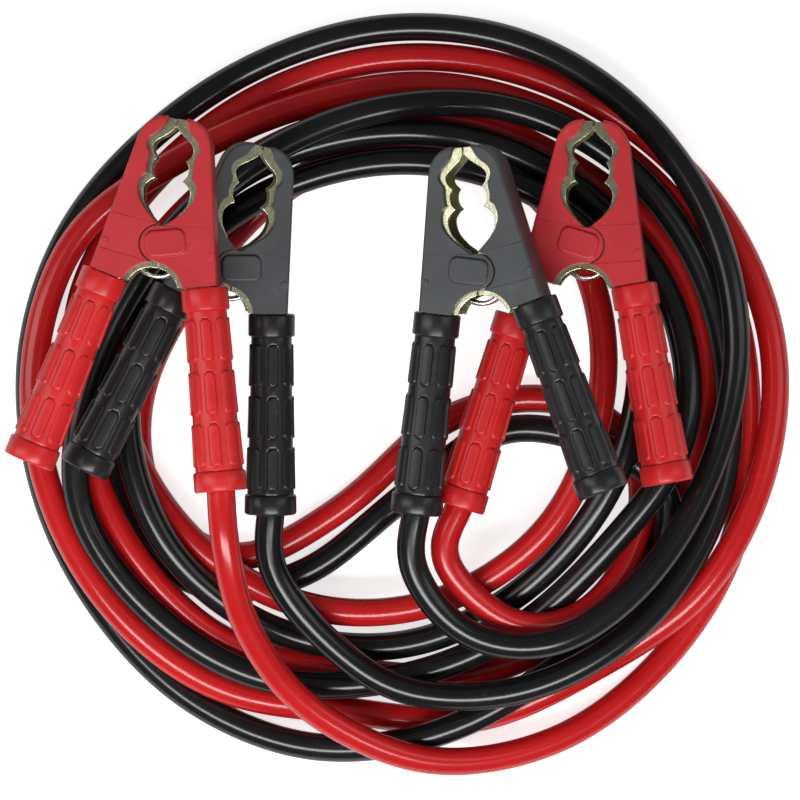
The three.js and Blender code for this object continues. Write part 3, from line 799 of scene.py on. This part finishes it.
def vary_roughness(tree, shader, mask, low, high):
    """low + mask * (high - low)"""
    tree.links.new(math_node(tree, "ADD", math_node(tree, "MULTIPLY", mask, high - low), low),
                   shader.inputs["Roughness"])

def plastic(name, dark, light, scuffed, gloss, patch=45.0, grain_scale=1500.0, bump=0.12,
            amount=0.5, specular=0.5):
    material, tree, shader = new_material(name)
    patches = use_group(tree, uneven, Scale=patch, Contrast=2.4)
    marks = use_group(tree, scuffs, Amount=amount)
    base = mix_colour(tree, patches.outputs["Mask"], dark, light)
    worn = mix_colour(tree, marks.outputs["Mask"], base, scuffed)
    tree.links.new(worn, shader.inputs["Base Color"])
    vary_roughness(tree, shader, marks.outputs["Mask"], *gloss)
    shader.inputs["Specular IOR Level"].default_value = specular
    fine = use_group(tree, grain, Scale=grain_scale)
    connect_bump(tree, shader, fine.outputs["Height"], bump, 0.0002)
    return material

finishes = {
    "red_cover": plastic("red moulded cover", (0.50, 0.020, 0.026), (0.57, 0.027, 0.034),
                         (0.64, 0.08, 0.09), (0.40, 0.58), bump=0.22),
    "black_cover": plastic("dark grey moulded cover", (0.046, 0.048, 0.052),
                           (0.062, 0.065, 0.070), (0.11, 0.115, 0.12), (0.42, 0.60),
                           bump=0.22),
    "red_sleeve": plastic("red soft sleeve", (0.60, 0.014, 0.014), (0.69, 0.022, 0.022),
                          (0.74, 0.07, 0.07), (0.32, 0.52)),
    "black_sleeve": plastic("black soft sleeve", (0.011, 0.0115, 0.013),
                            (0.018, 0.019, 0.021), (0.05, 0.052, 0.055), (0.30, 0.48)),
    "red_cable": plastic("red cable skin", (0.50, 0.008, 0.009), (0.60, 0.013, 0.014),
                         (0.66, 0.05, 0.05), (0.20, 0.30), patch=18.0, bump=0.06,
                         amount=0.35),
    "black_cable": plastic("black cable skin", (0.0055, 0.0056, 0.0062),
                           (0.0095, 0.0096, 0.0105), (0.03, 0.031, 0.033), (0.20, 0.30),
                           patch=18.0, bump=0.06, amount=0.35),
}
print("plastic finishes", sorted(finishes))

# %% [markdown]
# ## Plated steel and spring wire
# The arms have yellow passivated zinc: a pale gold metal with a faint green and pink play of
# colours. A thin film shader would colour it by the angle of view, which the exported model
# loses. Slow noise between three near shades looks the same and is kept.

# %% Metal materials
def metal(name, first, second, third, gloss, patch, bump):
    material, tree, shader = new_material(name)
    shader.inputs["Metallic"].default_value = 1.0
    large = use_group(tree, uneven, Scale=patch, Contrast=3.0)
    small = use_group(tree, uneven, Scale=patch * 3.1, Contrast=2.5)
    marks = use_group(tree, scuffs, Amount=0.7)
    base = mix_colour(tree, large.outputs["Mask"], first, second)
    tree.links.new(mix_colour(tree, small.outputs["Mask"], base, third),
                   shader.inputs["Base Color"])
    vary_roughness(tree, shader, marks.outputs["Mask"], *gloss)
    fine = use_group(tree, grain, Scale=700.0)
    connect_bump(tree, shader, fine.outputs["Height"], bump, 0.0002)
    return material

finishes["zinc_steel"] = metal("yellow zinc plating", (0.62, 0.57, 0.33), (0.90, 0.85, 0.60),
                               (0.52, 0.55, 0.40), (0.26, 0.46), 95.0, 0.55)
finishes["spring_steel"] = metal("bright spring wire", (0.70, 0.71, 0.72),
                                 (0.82, 0.82, 0.83), (0.76, 0.76, 0.74), (0.22, 0.40), 60.0,
                                 0.08)

def dress(piece, material):
    """The piece gets this one material in place of any that it had."""
    piece.data.materials.clear()
    piece.data.materials.append(material)

slot_of_node = {s["node"]: s["material_slot"] for s in frame["record"]["subparts"]}
for node, solid in frame["nodes"].items():
    dress(solid, finishes[slot_of_node[node]])
for piece in list(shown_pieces()):
    if piece.get("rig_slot"):
        dress(piece, finishes[piece["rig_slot"]])

# %% [markdown]
# ## White table and soft light
# A product photograph on white has light from all round, so shadows nearly vanish. A plain
# white floor with light of its own does that here. It glows more to the eye than to the
# pieces, so black stays black beside it. A large soft light hangs above and to the front,
# with a weaker one on each side, and they draw the long highlights on the cables.

# %% Floor and lights
def white_floor(size=6.0):
    h = size / 2
    z = (COIL[2] - 0.1) * MM
    mesh = bpy.data.meshes.new("table_top")
    mesh.from_pydata([(-h, -h, z), (h, -h, z), (h, h, z), (-h, h, z)], [], [(0, 1, 2, 3)])
    floor = bpy.data.objects.new("table_top", mesh)
    bpy.context.scene.collection.objects.link(floor)
    material, tree, shader = new_material("white table")
    shader.inputs["Base Color"].default_value = (0.92, 0.92, 0.92, 1)
    shader.inputs["Roughness"].default_value = 0.9
    shader.inputs["Specular IOR Level"].default_value = 0.0
    shader.inputs["Emission Color"].default_value = (1, 1, 1, 1)
    path = tree.nodes.new("ShaderNodeLightPath")
    seen = math_node(tree, "MULTIPLY", path.outputs["Is Camera Ray"], 0.60)
    tree.links.new(math_node(tree, "ADD", seen, 0.12), shader.inputs["Emission Strength"])
    dress(floor, material)
    return floor

def soft_light(name, place, target, size, power):
    """A rectangular area light at a place, turned so that it shines at the target."""
    data = bpy.data.lights.new(name, "AREA")
    data.shape = "RECTANGLE"
    data.size, data.size_y = size
    data.energy = power
    light = bpy.data.objects.new(name, data)
    way = Vector(target) - Vector(place)
    light.rotation_euler = way.to_track_quat("-Z", "Y").to_euler()
    light.location = place
    bpy.context.scene.collection.objects.link(light)
    return light

floor = white_floor()
middle = tuple(COIL * MM)
lights = [
    soft_light("front_softbox", (0.0, -0.75, 1.15), middle, (1.3, 0.34), 17.0),
    soft_light("left_softbox", (-1.0, 0.1, 0.9), middle, (0.4, 1.2), 4.0),
    soft_light("right_softbox", (1.0, 0.2, 0.9), middle, (0.4, 1.0), 1.5),
]
world = bpy.data.worlds.new("white room")
world.use_nodes = True
world.node_tree.nodes["Background"].inputs["Color"].default_value = (1, 1, 1, 1)
world.node_tree.nodes["Background"].inputs["Strength"].default_value = 0.13
bpy.context.scene.world = world
bpy.context.scene.view_settings.view_transform = "Standard"
print("lights", [light.name for light in lights])
